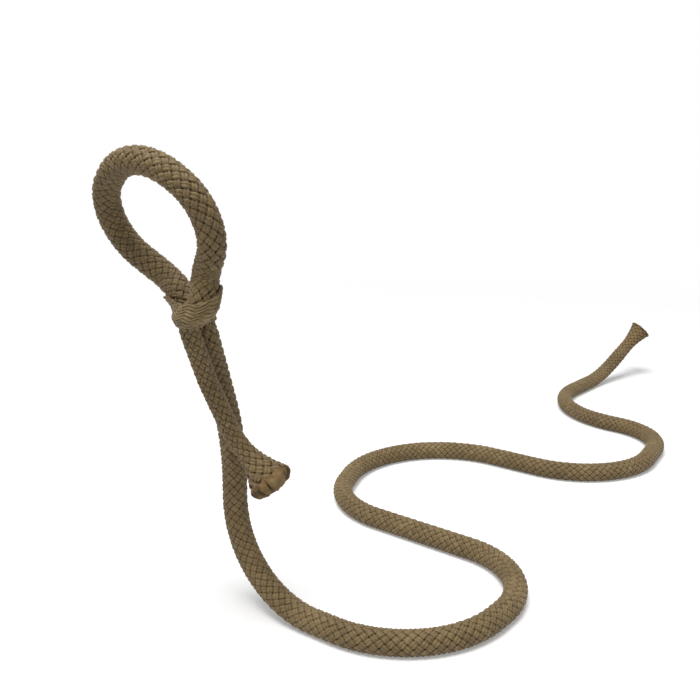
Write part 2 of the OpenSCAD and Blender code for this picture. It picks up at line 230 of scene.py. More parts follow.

# The collar's lining, a dark sheet of painted shade: its steps, its sides, and its share of the
# fold's thickness
COLLAR_LINING_STEPS, COLLAR_LINING_SIDES, COLLAR_LINING_GROW = 120, 28, 0.3

# The chart for baking: the gap between two rows, the spare room in a row, how far a row may run
# over it, and a cap's radius and place in its cell
BAKE_GAP, BAKE_SPARE, BAKE_OVER = 0.6, 1.02, 1.08
CAP_SHARE, CAP_PLACE = 0.4, 0.7

rng = np.random.default_rng(SEED)


# The rope's line

def unit(v):
    return v / np.linalg.norm(v)


def units(rows):
    return rows / np.linalg.norm(rows, axis=1)[:, None]


def outward(side_1, side_2, angle):
    """The way out at an angle from the first side towards the second."""
    return side_1 * np.cos(angle)[..., None] + side_2 * np.sin(angle)[..., None]


def lift_direction():
    up = math.radians(LIFT_ANGLE)
    side = math.radians(LIFT_TURN)
    return np.array([
        math.cos(up) * math.cos(side),
        -math.cos(up) * math.sin(side),
        math.sin(up),
    ])


def heel_and_knee():
    heel = np.array([0.0, 0.0, LIE_H])
    return heel, heel + [KNEE_X, KNEE_Y, KNEE_H]


def foot_corners():
    """The foot's corners on the table, from the heel to the start of the lifted end."""
    x1 = BAY_1_W * RUN_STEP_SHARES[0]
    x2 = x1 + BAY_1_W
    x2_end = x2 + BAY_1_W * RUN_STEP_SHARES[1]
    x3 = x2_end + BAY_2_W
    x3_end = x3 + BAY_2_W * RUN_STEP_SHARES[2]
    x4 = x3_end + BAY_3_W
    x4_end = x4 + BAY_3_W * RUN_STEP_SHARES[3]
    return [np.array([x, y, LIE_H]) for x, y in (
        (x1, -BAY_1_REACH * SHORT_REACH_SHARES[0]),
        (x2, -BAY_1_REACH),
        (x2_end, BAY_2_REACH * SHORT_REACH_SHARES[1]),
        (x3, BAY_2_REACH),
        (x3_end, -BAY_3_REACH),
        (x4, -BAY_3_REACH * SHORT_REACH_SHARES[2]),
        (x4_end, END_RUN_REACH),
        (x4_end + END_RUN, END_RUN_REACH * SHORT_REACH_SHARES[3]),
    )]


def rope_corners():
    """Every corner of the rope with its bend radius, from the tail's mouth to the foot's."""
    heel, knee = heel_and_knee()
    throat = heel + [-THROAT_X, -THROAT_Y, THROAT_H]
    loop = [throat + np.array(s) * [LOOP_LEAN, LOOP_W, LOOP_H] for s in LOOP_SHARES]
    cut_dir = unit(loop[0] - loop[1])
    tail = [throat + np.array(s) * TAIL_L for s in TAIL_SHARES]
    foot = foot_corners()
    foot_end = foot[-1] + lift_direction() * LIFT_ROD_L
    mouth = foot_end + lift_direction() * END_EMPTY_L
    corners = tail[::-1] + [loop[0] + cut_dir * TAIL_TAPER_L]
    radii = [0.0] + [s * TAIL_L for s in reversed(TAIL_R_SHARES)]
    corners += loop[1:] + [throat, knee, heel]
    radii += [s * LOOP_W for s in LOOP_R_SHARES] + [KNEE_R, HEEL_R]
    corners += foot + [mouth]
    widths = (BAY_1_W, BAY_1_W, BAY_2_W, BAY_2_W, BAY_3_W, BAY_3_W)
    radii += [s * w for s, w in zip(BAY_R_SHARES, widths)]
    radii += [s * END_RUN for s in END_R_SHARES] + [0.0]
    return corners, radii, loop[0]


class RopeLine:
    """The centre line: places, directions and untwisted sides, by the length from the tail's mouth."""

    def __init__(self):
        corners, radii, cut = rope_corners()
        places, marks = [corners[0]], []
        for i in range(1, len(corners) - 1):
            into = unit(corners[i] - corners[i - 1])
            out = unit(corners[i + 1] - corners[i])
            angle = math.acos(max(-1.0, min(1.0, float(into @ out))))
            r = radii[i]
            start = corners[i] - into * r * math.tan(angle / 2)
            side = unit(out - into * (into @ out))
            count = max(2, int(math.ceil(r * angle / LINE_STEP)))
            turn = np.linspace(0, angle, count)[:, None]
            arc = start + side * r * (1 - np.cos(turn)) + into * r * np.sin(turn)
            steps = max(1, int(np.linalg.norm(start - places[-1]) / LINE_STEP))
            places += [places[-1] + (start - places[-1]) * k / steps for k in range(1, steps)]
            marks.append(len(places))
            places += list(arc)
        last = corners[-1]
        steps = int(np.linalg.norm(last - places[-1]) / LINE_STEP)
        places += [places[-1] + (last - places[-1]) * k / steps for k in range(1, steps + 1)]
        p = np.array(places)
        keep = np.r_[True, np.linalg.norm(np.diff(p, axis=0), axis=1) > TINY]
        self.p = p[keep]
        self.s = np.r_[0, np.cumsum(np.linalg.norm(np.diff(self.p, axis=0), axis=1))]
        self.t = units(np.gradient(self.p, self.s, axis=0))
        self.n = self.untwisted()
        self.bend_starts = [self.nearest(p[m]) for m in marks]
        self.cut = self.nearest(cut)
        self.length = self.s[-1]

    def untwisted(self):
        n = np.empty_like(self.t)
        side = unit(np.cross([0.0, 0.0, 1.0], self.t[0]))
        for i, t in enumerate(self.t):
            side = side - t * (side @ t)
            side /= math.sqrt(side @ side)
            n[i] = side
        return n

    def nearest(self, q):
        return float(self.s[np.argmin(((self.p - q) ** 2).sum(axis=1))])

    def at(self, s):
        """Place and three directions at each length, running on straight past both ends."""
        inside = np.clip(s, 0, self.length)

        def along(rows):
            return np.stack([np.interp(inside, self.s, rows[:, k]) for k in range(3)], axis=1)

        t, n = units(along(self.t)), along(self.n)
        n = units(n - t * (n * t).sum(axis=1)[:, None])
        p = along(self.p) + t * (s - inside)[:, None]
        return p, t, n, np.cross(t, n)


line = RopeLine()


def heel_exit():
    """Where the heel's bend ends and the foot lies on the table."""
    heel, knee = heel_and_knee()
    out = unit(foot_corners()[0] - heel)
    into = unit(heel - knee)
    angle = math.acos(float(into @ out))
    return line.nearest(heel + out * HEEL_R * math.tan(angle / 2))


def outer_radius(s):
    """The sleeve's outer radius along the rope, flared at both mouths."""
    below = line.cut - s
    thin = np.clip(below / TAIL_TAPER_L, 0, 1)
    r = np.where(below > 0, ROPE_R + (TAIL_R - ROPE_R) * thin, ROPE_R)
    flare = np.clip(1 - s / TAIL_FLARE_L, 0, 1)
    r = r + (TAIL_FLARE_R - TAIL_R) * flare ** FLARE_POWER
    past = s - (line.length - END_EMPTY_L)
    thin = np.clip(past / END_TAPER_L, 0, 1)
    r = r + (END_NECK_R - ROPE_R) * thin
    flare = np.clip(1 - (line.length - s) / END_FLARE_L, 0, 1)
    return r + (END_FLARE_R - END_NECK_R) * flare ** FLARE_POWER


def lean_mouth(pts, s):
    """Leans rings of points of the foot's empty end, more and more towards its mouth."""
    p, t, _, b = line.at(s)
    share = np.clip(1 - (line.length - s) / END_FLARE_L, 0, 1) ** MOUTH_LEAN_POWER
    off = ((pts - p[:, None]) * b[:, None]).sum(axis=2)
    return pts + t[:, None] * (MOUTH_LEAN * share[:, None] * off)[..., None]


# Meshes made of tubes

def put(name, data):
    """Makes an object and links it into the scene."""
    obj = bpy.data.objects.new(name, data)
    bpy.context.scene.collection.objects.link(obj)
    return obj


class MeshPlan:
    """Collects tubes, with what their faces need to know, for one mesh."""

    def __init__(self):
        self.points, self.faces, self.slots = [], [], []
        # The tone mark is the yarn's own tone on the braid and painted shade on the fused ends
        self.marks = {"tone": [], "depth": [], "scorch": []}
        self.strand_uv, self.bake_rows, self.cap_rings = [], [], []
        self.count = 0

    def add_tube(self, pts, tone, depth, scorch, slot, closed=False, capped=True):
        """pts is rings by corners by 3. A closed tube's last ring joins its first."""
        rings, sides = pts.shape[:2]
        base = self.count
        ring_no = np.arange(rings if closed else rings - 1)
        i, k = np.meshgrid(ring_no, np.arange(sides), indexing="ij")
        j, n = (i + 1) % rings, (k + 1) % sides
        corners = [i * sides + k, i * sides + n, j * sides + n, j * sides + k]
        quads = base + np.stack(corners, axis=-1)
        flat = pts.reshape(-1, 3)
        corner = flat[quads - base]
        facing = np.cross(corner[:, :, 1] - corner[:, :, 0], corner[:, :, 2] - corner[:, :, 1])
        middle = corner.mean(axis=2)
        away = middle - middle.mean(axis=1, keepdims=True)
        inward = (facing * away).sum() < 0
        gone, around = self.unrolled(pts, closed)
        uv = np.empty(quads.shape + (2,))
        uv[..., 0, 0] = uv[..., 1, 0] = gone[i]
        uv[..., 2, 0] = uv[..., 3, 0] = gone[i + 1]
        uv[..., 0, 1] = uv[..., 3, 1] = around[k]
        uv[..., 1, 1] = uv[..., 2, 1] = around[k + 1]
        if inward:
            quads, uv = quads[..., ::-1], uv[..., ::-1, :]
        self.points.append(flat)
        self.faces.append(quads.reshape(-1, 4))
        self.strand_uv.append(uv.reshape(-1, 2))
        self.bake_rows.append((len(ring_no), sides, gone, around))
        for values, value in zip(self.marks.values(), (tone, depth, scorch)):
            values.append(np.broadcast_to(value, pts.shape[:2]).reshape(-1))
        self.slots.append(np.full(quads.shape[0] * sides, slot))
        if capped and not closed:
            self.cap_rings.append((base, sides, not inward))
            self.cap_rings.append((base + (rings - 1) * sides, sides, inward))
        self.count += rings * sides

    @staticmethod
    def unrolled(pts, closed):
        """Mean lengths along a tube to each ring, and round it to each corner."""
        around = np.linalg.norm(np.roll(pts, -1, axis=1) - pts, axis=2).mean(axis=0)
        nxt = np.roll(pts, -1, axis=0) if closed else pts[1:]
        run = np.linalg.norm(nxt - (pts if closed else pts[:-1]), axis=2).mean(axis=1)
        return np.r_[0, np.cumsum(run)], np.r_[0, np.cumsum(around)]

    def bake_pieces(self, wide):
        """Cuts every tube's skin into pieces that fit a row, and gives each piece its place."""
        pieces = []
        for n, (rings, _, gone, _) in enumerate(self.bake_rows):
            cuts = max(1, int(math.ceil(gone[-1] / wide)))
            edges = np.linspace(0, rings, cuts + 1).astype(int)
            pieces += [(n, edges[c], edges[c + 1]) for c in range(cuts)]
        places = {}
        row_y, x, row_h = 0.0, 0.0, 0.0
        for n, a, b in pieces:
            gone, around = self.bake_rows[n][2:]
            w, h = gone[b] - gone[a] + BAKE_GAP, around[-1] + BAKE_GAP
            if x + w > wide * BAKE_OVER and x > 0:
                row_y, x, row_h = row_y + row_h, 0.0, 0.0
            places.setdefault(n, []).append((a, b, x, row_y))
            x, row_h = x + w, max(row_h, h)
        return places, row_y + row_h

    def bake_uv(self):
        """Lays every tube's unrolled skin out in rows that don't overlap, for baking."""
        total = sum((g[-1] + BAKE_GAP) * (a[-1] + BAKE_GAP) for _, _, g, a in self.bake_rows)
        wide = math.sqrt(total) * BAKE_SPARE
        places, cap_y = self.bake_pieces(wide)
        high = cap_y + 2 * BAKE_GAP
        far = wide * BAKE_OVER + BAKE_GAP
        out = []
        for n, uv in enumerate(self.strand_uv):
            rings, sides, gone, _ = self.bake_rows[n]
            flat = uv.reshape(rings, sides, 4, 2).copy()
            for a, b, x, y in places[n]:
                flat[a:b, ..., 0] += x + BAKE_GAP / 2 - gone[a]
                flat[a:b, ..., 1] += y + BAKE_GAP / 2
            out.append(flat.reshape(-1, 2))
        step = far / (len(self.cap_rings) + 1)
        size = min(BAKE_GAP, step) * CAP_SHARE
        for n, (_, sides, _) in enumerate(self.cap_rings):
            a = np.arange(sides) * TURN / sides
            x = step * (n + CAP_PLACE) + size * np.cos(a)
            y = cap_y + BAKE_GAP + size * np.sin(a)
            out.append(np.stack([x, y], axis=1))
        return np.clip(np.concatenate(out) / [far, high], 0, 1)

    def build(self, name, materials):
        pts = np.concatenate(self.points)
        quads = np.concatenate(self.faces)
        caps = []
        for base, sides, first in self.cap_rings:
            ring = np.arange(base, base + sides)
            caps.append(ring[::-1] if first else ring)
        loops = np.concatenate([quads.reshape(-1)] + caps)
        sizes = np.r_[np.full(len(quads), 4), [len(c) for c in caps]].astype(int)
        starts = np.r_[0, np.cumsum(sizes)[:-1]]
        mesh = bpy.data.meshes.new(name)
        mesh.vertices.add(len(pts))
        mesh.vertices.foreach_set("co", ((pts - MIDDLE) * MM).astype(np.float32).reshape(-1))
        mesh.loops.add(len(loops))
        mesh.loops.foreach_set("vertex_index", loops.astype(np.int32))
        mesh.polygons.add(len(sizes))
        mesh.polygons.foreach_set("loop_start", starts.astype(np.int32))
        mesh.polygons.foreach_set("loop_total", sizes.astype(np.int32))
        mesh.update(calc_edges=True)
        mesh.polygons.foreach_set("use_smooth", np.ones(len(sizes), dtype=bool))
        slots = np.r_[np.concatenate(self.slots), np.zeros(len(caps))].astype(np.int32)
        mesh.polygons.foreach_set("material_index", slots)
        self.put_uv(mesh, "OFBake", self.bake_uv())
        strand = np.concatenate(self.strand_uv)
        spare = np.zeros((len(loops) - len(strand), 2))
        self.put_uv(mesh, "Strand", np.concatenate([strand, spare]))
        for label, values in self.marks.items():
            layer = mesh.attributes.new(label, "FLOAT", "POINT")
            layer.data.foreach_set("value", np.concatenate(values).astype(np.float32))
        self.sharpen_caps(mesh, len(pts))
        for m in materials:
            mesh.materials.append(m)
        mesh.validate()
        return put(name, mesh)

    @staticmethod
    def put_uv(mesh, label, uv):
        layer = mesh.uv_layers.new(name=label, do_init=False)
        layer.uv.foreach_set("vector", uv.astype(np.float32).reshape(-1))

    def sharpen_caps(self, mesh, count):
        """Keeps the hidden end caps from bending the light at a strand's end."""
        mark = np.zeros(count, dtype=int)
        for n, (base, sides, _) in enumerate(self.cap_rings):
            mark[base:base + sides] = n + 1
        ends = np.empty(len(mesh.edges) * 2, dtype=np.int32)
        mesh.edges.foreach_get("vertices", ends)
        a, b = mark[ends[0::2]], mark[ends[1::2]]
        sharp = (a == b) & (a > 0)
        mesh.attributes.new("sharp_edge", "BOOLEAN", "EDGE").data.foreach_set("value", sharp)


# Strands

# A strand's section: two yarns side by side, as shares of its width and of its thickness
SECTION_SHARES = np.array((
    (-0.50, -0.10), (-0.42, 0.22), (-0.26, 0.44), (-0.10, 0.32), (0.0, 0.13), (0.10, 0.32),
    (0.26, 0.44), (0.42, 0.22), (0.50, -0.10), (0.28, -0.42), (0.0, -0.40), (-0.28, -0.42),
))

# The same in the collar, where the strand is pulled flat and its two yarns stand apart
FLAT_SECTION_SHARES = np.array((
    (-0.50, -0.20), (-0.42, 0.28), (-0.26, 0.50), (-0.10, 0.28), (0.0, -0.12), (0.10, 0.28),
    (0.26, 0.50), (0.42, 0.28), (0.50, -0.20), (0.28, -0.42), (0.0, -0.40), (-0.28, -0.42),
))


def strand_points(centre, across, out, width, thick, radius):
    """Rings of a strand's section, its edges drawn in to follow the round of the sleeve."""
    u = SECTION_SHARES[:, 0][None] * width[:, None]
    v = SECTION_SHARES[:, 1][None] * thick[:, None]
    v = v - u ** 2 / (2 * radius[:, None]) * EDGE_FOLLOW
    return centre[:, None] + across[:, None] * u[..., None] + out[:, None] * v[..., None]


def scorch_at(s):
    """How far the yarns are browned by the heat that sealed the ends, along the rope."""
    tail = np.clip(1 - s / TAIL_SCORCH_L, 0, 1) ** TAIL_SCORCH_POWER
    empty = END_SCORCH * np.clip((s - (line.length - END_EMPTY_L)) / END_SCORCH_L, 0, 1)
    mouth = MOUTH_SCORCH * np.clip(1 - (line.length - s) / MOUTH_SCORCH_L, 0, 1)
    return np.clip(tail + (empty + mouth), 0, 1)


def strand_tones():
    """Each strand's own shade, width and height, which wander slowly along the whole rope."""
    knots = int(line.length / BEAT) + SPARE_BEATS
    x = np.arange(knots) * BEAT - BEAT
    tones = {}
    for way in (1, -1):
        for k in range(STRANDS):
            shade = rng.normal(0, STRAND_SHADE) + rng.normal(0, BEAT_SHADE, knots)
            wide = 1 + rng.normal(0, WIDTH_STRAY, knots)
            high = 1 + np.clip(rng.normal(HEIGHT_MEAN, HEIGHT_STRAY, knots), HEIGHT_LEAST, HEIGHT_MOST)
            tones[(way, k)] = (shade, wide, high)
    return x, tones


TONE_PLACES, TONES = strand_tones()


def braid(plan, s):
    """Adds the sixteen strands between two lengths of the rope. s runs one ring past both ends."""
    p, _, n, b = line.at(s)
    r_out = outer_radius(s)
    mid = r_out - SINK
    climb = np.arctan(TURN * mid / LEAD)
    width = TURN * mid / STRANDS * np.cos(climb) * COVER
    scorch = scorch_at(s)[1:-1, None]
    for way in (1, -1):
        for k in range(STRANDS):
            angle = TURN * (k / STRANDS + way * s / LEAD)
            swing = way * np.cos(TURN * STRANDS * s / LEAD)
            radius = mid + WAVE * swing
            out = outward(n, b, angle)
            centre = p + out * radius[:, None]
            along = units(np.gradient(centre, axis=0))
            across = units(np.cross(out, along))
            lift = np.cross(along, across)
            tone, wide, high = (np.interp(s, TONE_PLACES, values) for values in TONES[(way, k)])
            full = width * wide * (DIVE_W + (1 - DIVE_W) * np.abs(swing))
            thick = STRAND_T * high * (1 + SWELL * swing)
            pts = strand_points(centre, across, lift, full, thick, mid)
            # The depth mark, nought down in the gaps and one on top, sets the painted shade between
            # strands
            gone = np.linalg.norm(pts - p[:, None], axis=2)
            depth = 1 - (r_out[:, None] - gone) / (SINK + WAVE)
            pts = lean_mouth(pts, s)
            pts[..., 2] = np.maximum(pts[..., 2], 0)
            plan.add_tube(pts[1:-1], tone[1:-1, None], depth[1:-1], scorch, 0)


def ring_places(s0, s1):
    """Rings on one common beat between two lengths, with one more past each end."""
    first = math.ceil(s0 / RING_STEP + RING_SLACK)
    last = math.floor(s1 / RING_STEP - RING_SLACK)
    inner = np.arange(first, last + 1) * RING_STEP
    return np.r_[s0 - RING_STEP / 2, s0, inner, s1, s1 + RING_STEP / 2]


def lining(plan, s0, s1):
    """A sheet of painted shade for the sleeve's inner side, seen only between the strands and in the
    mouths.
    """
    s = np.linspace(s0, s1, max(3, int((s1 - s0) / LINING_STEP)))
    p, _, n, b = line.at(s)
    r_in = outer_radius(s) - SLEEVE_T + LINING_INSET
    a = np.arange(LINING_SIDES) * TURN / LINING_SIDES
    out = outward(n[:, None], b[:, None], a[None])
    pts = lean_mouth(p[:, None] + out * r_in[:, None, None], s)
    pts[..., 2] = np.maximum(pts[..., 2], LINING_LIFT)
    plan.add_tube(pts, 0.0, 0.0, 0.0, 1, capped=False)


def sleeve(name, node, s0, s1, materials):
    plan = MeshPlan()
    braid(plan, ring_places(s0, s1))
    lining(plan, s0, s1)
    piece = plan.build(name, materials)
    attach(piece, "root")
    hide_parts(node)


def sleeves(materials):
    """The stretches of the sleeve, split where the CAD sleeve is."""
    starts = line.bend_starts
    throat, heel = THROAT_BEND, THROAT_BEND + 2
    foot_end = line.length - END_EMPTY_L
    after_heel = heel_exit()
    stretches = (
        ("tail_flare_braid", "tail_end_flare", 0.0, TAIL_FLARE_L),
        ("tail_braid", "tail_sleeve", TAIL_FLARE_L, line.cut),
        ("loop_braid", "loop_sleeve", line.cut, starts[throat]),
        ("stem_braid", "stem_sleeve", starts[throat], after_heel),
        ("foot_front_braid", "foot_front_sleeve", after_heel, starts[heel + 3]),
        ("foot_middle_braid", "foot_middle_sleeve", starts[heel + 3], starts[heel + 5]),
        ("foot_back_braid", "foot_back_sleeve", starts[heel + 5], starts[heel + 7]),
        ("foot_lifted_braid", "foot_lifted_sleeve", starts[heel + 7], foot_end),
        ("foot_flare_braid", "foot_end_flare", foot_end, line.length),
    )
    for name, node, start, end in stretches:
        sleeve(name, node, start, end, materials)


# The fused ends

def lump_line(count, lumps, r):
    """Round a mouth: how full the lump at each angle is, falling to nought in the creases between."""
    a = np.arange(count) * TURN / count
    pitch = TURN / lumps
    centres = (np.arange(lumps) + r.uniform(-LUMP_STRAY, LUMP_STRAY, lumps)) * pitch
    halves = pitch * r.uniform(*LUMP_HALF_W, lumps)
    sizes = r.uniform(*LUMP_SIZE, lumps)
    off = np.abs((a[:, None] - centres[None] + math.pi) % TURN - math.pi)
    swell = (np.clip(1 - (off / halves) ** 2, 0, 1) ** 0.5 * sizes).max(axis=1)
    return a, swell


def ripple(a, waves, r):
    """Small waves round a mouth, each with its own number of crests and chance start."""
    return sum(np.sin(a * count + r.uniform(0, PHASE)) for count in waves) / len(waves)


def dimples(x, y, r):
    """Chance waves across the dome, both ways."""
    def wave(v):
        return np.sin(v * r.uniform(*DIMPLE_WAVES) + r.uniform(0, PHASE))

    return sum(wave(x) * wave(y) for _ in range(DIMPLES))


def end_frame(at_tail):
    """The middle of a mouth, the way out of it, and two sides."""
    p, t, n, b = (v[0] for v in line.at(np.array([0.0 if at_tail else line.length])))
    return p, (-t if at_tail else t), n, b


def finish_end(plan, name, node, materials):
    piece = plan.build(name, materials)
    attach(piece, "root")
    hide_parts(node)


def fused_rim(materials):
    """The foot's cut yarns melted into a thin uneven bead round its open mouth."""
    r = np.random.default_rng(BEAD_SEED)
    p, t, n, b = end_frame(False)
    a, swell = lump_line(BEAD_STEPS, BEAD_LUMPS, r)
    fine = ripple(a, BEAD_FINE_WAVES, r)
    size = BEAD_R * (1 - BEAD_LUMP + BEAD_LUMP * swell + BEAD_FINE * fine)
    ahead = BEAD_SLOW * ripple(a, BEAD_SLOW_WAVES, r) + BEAD_AHEAD * swell - BEAD_SET_BACK
    reach = END_FLARE_R - SLEEVE_T / 2 + BEAD_OUT * swell
    q = np.arange(BEAD_SIDES) * TURN / BEAD_SIDES
    out = outward(n, b, a)
    wide = reach[:, None] + np.cos(q)[None] * size[:, None] * BEAD_WIDER
    high = ahead[:, None] + np.sin(q)[None] * size[:, None]
    pts = p + out[:, None] * wide[..., None] + t * high[..., None]
    pts = lean_mouth(pts, np.full(BEAD_STEPS, line.length))
    # Painted shade: lighter on the lumps and darker in the creases between them
    tone = (swell * BEAD_LUMP_SHADE - BEAD_LUMP_SHADE_MEAN)[:, None]
    plan = MeshPlan()
    plan.add_tube(pts, tone, 1.0, BEAD_SCORCH, 0, closed=True)
    finish_end(plan, "foot_fused_end", "foot_end_rim", materials)


def dome_profile():
    """The dome's reach and height from its skirt to its crown, and how full its lumps are there."""
    rise = np.linspace(0, math.pi / 2, DOME_RISE_STEPS)
    reach = (TAIL_FLARE_R + DOME_OVER) * np.cos(rise) ** DOME_POWER
    height = DOME_BASE_H + (DOME_H - DOME_LESS_H) * np.sin(rise)
    reach = np.r_[TAIL_FLARE_R - np.array(SKIRT_INSETS), reach]
    height = np.r_[SKIRT_HEIGHTS, height]
    lumps = np.r_[SKIRT_LUMPS, np.cos(rise) ** LUMP_FADE_POWER]
    return reach[:, None], height[:, None], lumps[:, None]


def fused_dome(materials):
    """The tail's cut yarns melted shut: a low dome with a lumpy edge, creased between the lumps."""
    r = np.random.default_rng(DOME_SEED)
    p, t, n, b = end_frame(True)
    a, swell = lump_line(DOME_STEPS, DOME_LUMPS, r)
    reach, height, lumps = dome_profile()
    out = outward(n, b, a)
    fine = ripple(a, DOME_FINE_WAVES, r)
    push = (LUMP_OUT * (swell[None] - LUMP_OUT_MEAN) + DOME_FINE * fine[None]) * lumps
    wide = reach * (1 + push)
    raised = np.clip(height, 0, LUMP_UP_FROM)
    high = height + LUMP_UP * (swell[None] - LUMP_UP_MEAN) * lumps * raised
    waves = dimples(wide * np.cos(a)[None], wide * np.sin(a)[None], r)
    high = high + DIMPLE_H * waves * np.clip(height, 0, 1)
    pts = p + out[None] * wide[..., None] + t * high[..., None]
    # Painted shade: lighter where the skin stands out, darker in its creases and dimples
    tone = DOME_LUMP_SHADE * (swell[None] - DOME_LUMP_SHADE_MEAN) + DOME_FINE_SHADE * fine[None]
    tone = tone * lumps + DIMPLE_SHADE * waves
    scorch = DOME_SCORCH * np.clip(height / DOME_SCORCH_H, 0, 1)
    plan = MeshPlan()
    plan.add_tube(pts, tone, 1.0, scorch, 0, capped=False)
    finish_end(plan, "tail_fused_end", "tail_end_cap", materials)


# The collar's braid

def smooth_noise(count, step, size):
    """A slow random line of the given size: one random value each step, joined smoothly."""
    knots = int(count / step) + SPARE_VALUES
    values = rng.normal(0, size, knots)
    x = np.arange(count) / step + 1
    i = x.astype(int)
    f = x - i
    f = f * f * (3 - 2 * f)
    return values[i] * (1 - f) + values[i + 1] * f


def run_centre(z, low, high):
    """Where the rope's line between two lengths passes each height."""
    part = (line.s > low) & (line.s < high)
    p = line.p[part]
    order = np.argsort(p[:, 2])
    return np.stack([np.interp(z, p[order, 2], p[order, k]) for k in (0, 1)], axis=-1)


def leaned(offset, z, low, high):
    """Lengthens a run's level section the way that the run leans."""
    half = COLLAR_LEAN_STEP / 2
    lean = run_centre(z + half, low, high) - run_centre(z - half, low, high)
    lean = lean / COLLAR_LEAN_STEP
    steep = np.linalg.norm(lean, axis=-1)
    longer = np.minimum(np.sqrt(1 + steep ** 2), COLLAR_LEAN_MOST) - 1
    way = lean / np.maximum(steep, TINY)[..., None]
    return offset + way * ((way * offset).sum(axis=-1) * longer)[..., None]


def stadium(run, r1, r2, apart):
    """Round two circles and the straights between them, for the length gone from the first's middle.

    Gives the angle of the way out there, and the share of the way over to the second circle.
    """
    quarter = math.pi / 2
    first = quarter * r1
    second = first + apart
    third = second + math.pi * r2
    fourth = third + apart
    parts = [run < first, run < second, run < third, run < fourth]
    flat = 0 * run
    angle = np.select(
        parts,
        [run / r1, quarter + flat, quarter + (run - second) / r2, 3 * quarter + flat],
        3 * quarter + (run - fourth) / r1,
    )
    over = np.select(parts, [flat, (run - first) / apart, 1 + flat, 1 - (run - third) / apart], 0.0)
    return angle, over


def collar_outline(z, share, shrink):
    """Places round both runs at each height, by the share of the way round, and the way out."""
    throat = line.bend_starts[THROAT_BEND]
    near_part = (line.cut - COLLAR_REACH, line.cut + COLLAR_REACH)
    far_part = (throat - COLLAR_REACH, throat + COLLAR_REACH)
    near, far = run_centre(z, *near_part), run_centre(z, *far_part)
    apart = np.linalg.norm(near - far, axis=-1)
    axis = (near - far) / apart[..., None]
    cut_z = line.at(np.array([line.cut]))[0][0, 2]
    thin = np.clip((cut_z - z) / TAIL_TAPER_L, 0, 1)
    above = z - LIE_H - THROAT_H - COLLAR_LOW
    drawn = COLLAR_DRAWN_IN * np.clip(1 - above / COLLAR_DRAWN_H, 0, 1)
    r1 = COLLAR_NEAR_R - shrink - drawn - (ROPE_R - TAIL_R) * thin
    r2 = COLLAR_FAR_R - shrink - drawn
    heading = np.arctan2(axis[..., 1], axis[..., 0])
    whole = math.pi * (r1 + r2) + 2 * apart
    run = (share * whole + r1 * (COLLAR_FRONT - heading)) % whole
    angle, over = stadium(run, r1, r2, apart)
    side = np.stack([-axis[..., 1], axis[..., 0]], axis=-1)
    out = outward(axis, side, angle)
    by_near = near + leaned(out * r1[..., None], z, *near_part)
    by_far = far + leaned(out * r2[..., None], z, *far_part)
    flat = by_near * (1 - over[..., None]) + by_far * over[..., None]
    place = np.concatenate([flat, np.asarray(z)[..., None]], axis=-1)
    return place, np.concatenate([out, np.zeros(out.shape[:-1] + (1,))], axis=-1)


def collar_heights(share):
    """The low and the high rim at each share of the way round."""
    shares, heights = zip(*COLLAR_RIM)
    base = LIE_H + THROAT_H
    high = sum(np.interp(share + d, shares, heights, period=1.0) for d in RIM_SPREAD)
    return base + COLLAR_LOW + 0 * share, base + high / len(RIM_SPREAD)


def collar_place(share, turn, grow=1.0, rise=0.0):
    """A place on the flattened sleeve, by its shares of the way round the runs and round itself.

    grow shrinks the sleeve for its lining, and rise lifts the place off the sleeve's skin.
    """
    low, high = collar_heights(share)
    fold = (COLLAR_HALF_T - COLLAR_STRAND_T / 2) * grow
    half = (high - low - COLLAR_STRAND_T) / 2 - fold
    top, back = half + math.pi * fold, 3 * half + math.pi * fold
    bottom, whole = 3 * half + TURN * fold, 4 * half + TURN * fold
    run = (turn % 1.0) * whole
    parts = [run < half, run < top, run < back, run < bottom]
    flat = 0 * run
    folds = [flat, (run - half) / fold, flat + math.pi, math.pi + (run - back) / fold]
    angle = np.select(parts, folds, 0.0)
    climb = np.select(parts, [run, flat + half, half - (run - top), flat - half], run - whole)
    z = (high + low) / 2 + climb + (fold + rise) * np.sin(angle)
    place, out = collar_outline(z, share, COLLAR_HALF_T)
    return place + out * ((fold + rise) * np.cos(angle))[..., None]


